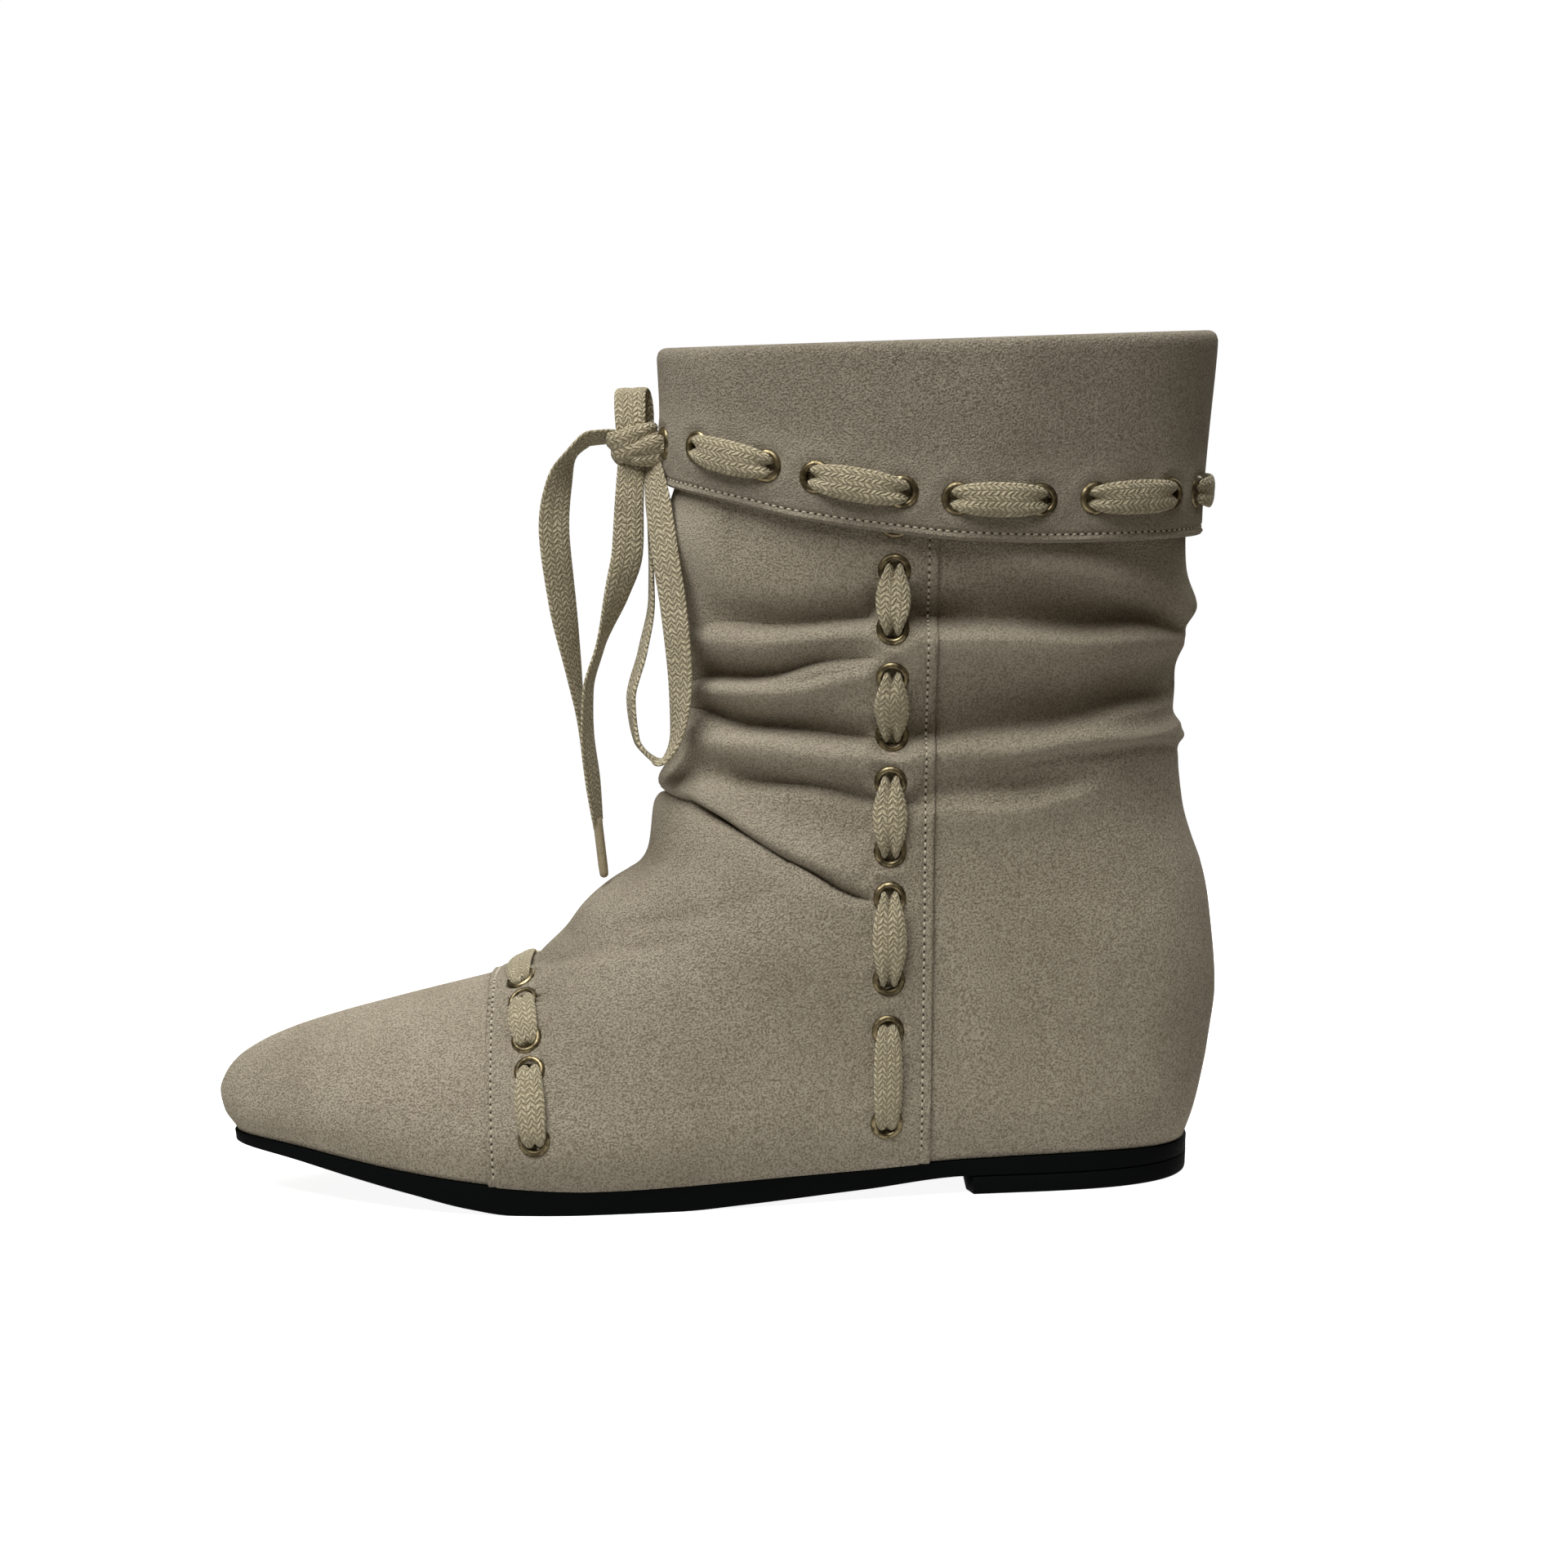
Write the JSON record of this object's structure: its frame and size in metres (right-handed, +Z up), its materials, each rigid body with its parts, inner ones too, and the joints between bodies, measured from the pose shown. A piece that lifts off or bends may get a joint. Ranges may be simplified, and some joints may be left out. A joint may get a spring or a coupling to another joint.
{
  "type": "slouch ankle boot",
  "caption": "Left slouch ankle boot in soft suede with a turned-down cuff, flat laces woven through eyelets, a bow in front, an almond toe and a low rubber sole.",
  "frame": {"origin": "on the floor, under the middle of the boot's box without the bow", "axes": "+Z up, -X towards the toe, -Y towards the outer (lateral) side of this left boot"},
  "size_m": [0.2668, 0.0888, 0.216],
  "materials": {
    "suede": "matt brushed suede",
    "sole": "black, satin",
    "lining": "matt",
    "lace": "woven cotton",
    "eyelet": "antique, dark",
    "aglet": "wrapped, matt"
  },
  "bodies": {
    "root": {"upper": "suede", "cuff": "suede", "outsole": "sole", "heel_lift": "sole", "insole": "lining", "lace_cuff": "lace", "lace_side": "lace", "lace_toe": "lace", "bow_knot": "lace", "bow_loop_long": "lace", "bow_loop_short": "lace", "bow_end_left": "lace", "bow_end_right": "lace", "aglet_left": "aglet", "aglet_right": "aglet", "eyelet_cuff_01": "eyelet", "eyelet_cuff_02": "eyelet", "eyelet_cuff_03": "eyelet", "eyelet_cuff_04": "eyelet", "eyelet_cuff_05": "eyelet", "eyelet_cuff_06": "eyelet", "eyelet_cuff_07": "eyelet", "eyelet_cuff_08": "eyelet", "eyelet_cuff_09": "eyelet", "eyelet_cuff_10": "eyelet", "eyelet_cuff_11": "eyelet", "eyelet_cuff_12": "eyelet", "eyelet_cuff_13": "eyelet", "eyelet_cuff_14": "eyelet", "eyelet_cuff_15": "eyelet", "eyelet_cuff_16": "eyelet", "eyelet_cuff_17": "eyelet", "eyelet_cuff_18": "eyelet", "eyelet_cuff_19": "eyelet", "eyelet_cuff_20": "eyelet", "eyelet_side_01": "eyelet", "eyelet_side_02": "eyelet", "eyelet_side_03": "eyelet", "eyelet_side_04": "eyelet", "eyelet_side_05": "eyelet", "eyelet_side_06": "eyelet", "eyelet_side_07": "eyelet", "eyelet_side_08": "eyelet", "eyelet_side_09": "eyelet", "eyelet_side_10": "eyelet", "eyelet_side_11": "eyelet", "eyelet_toe_01": "eyelet", "eyelet_toe_02": "eyelet", "eyelet_toe_03": "eyelet", "eyelet_toe_04": "eyelet", "eyelet_toe_05": "eyelet", "eyelet_toe_06": "eyelet", "eyelet_toe_07": "eyelet", "eyelet_toe_08": "eyelet", "eyelet_toe_09": "eyelet", "eyelet_toe_10": "eyelet"}
  },
  "joints": []
}
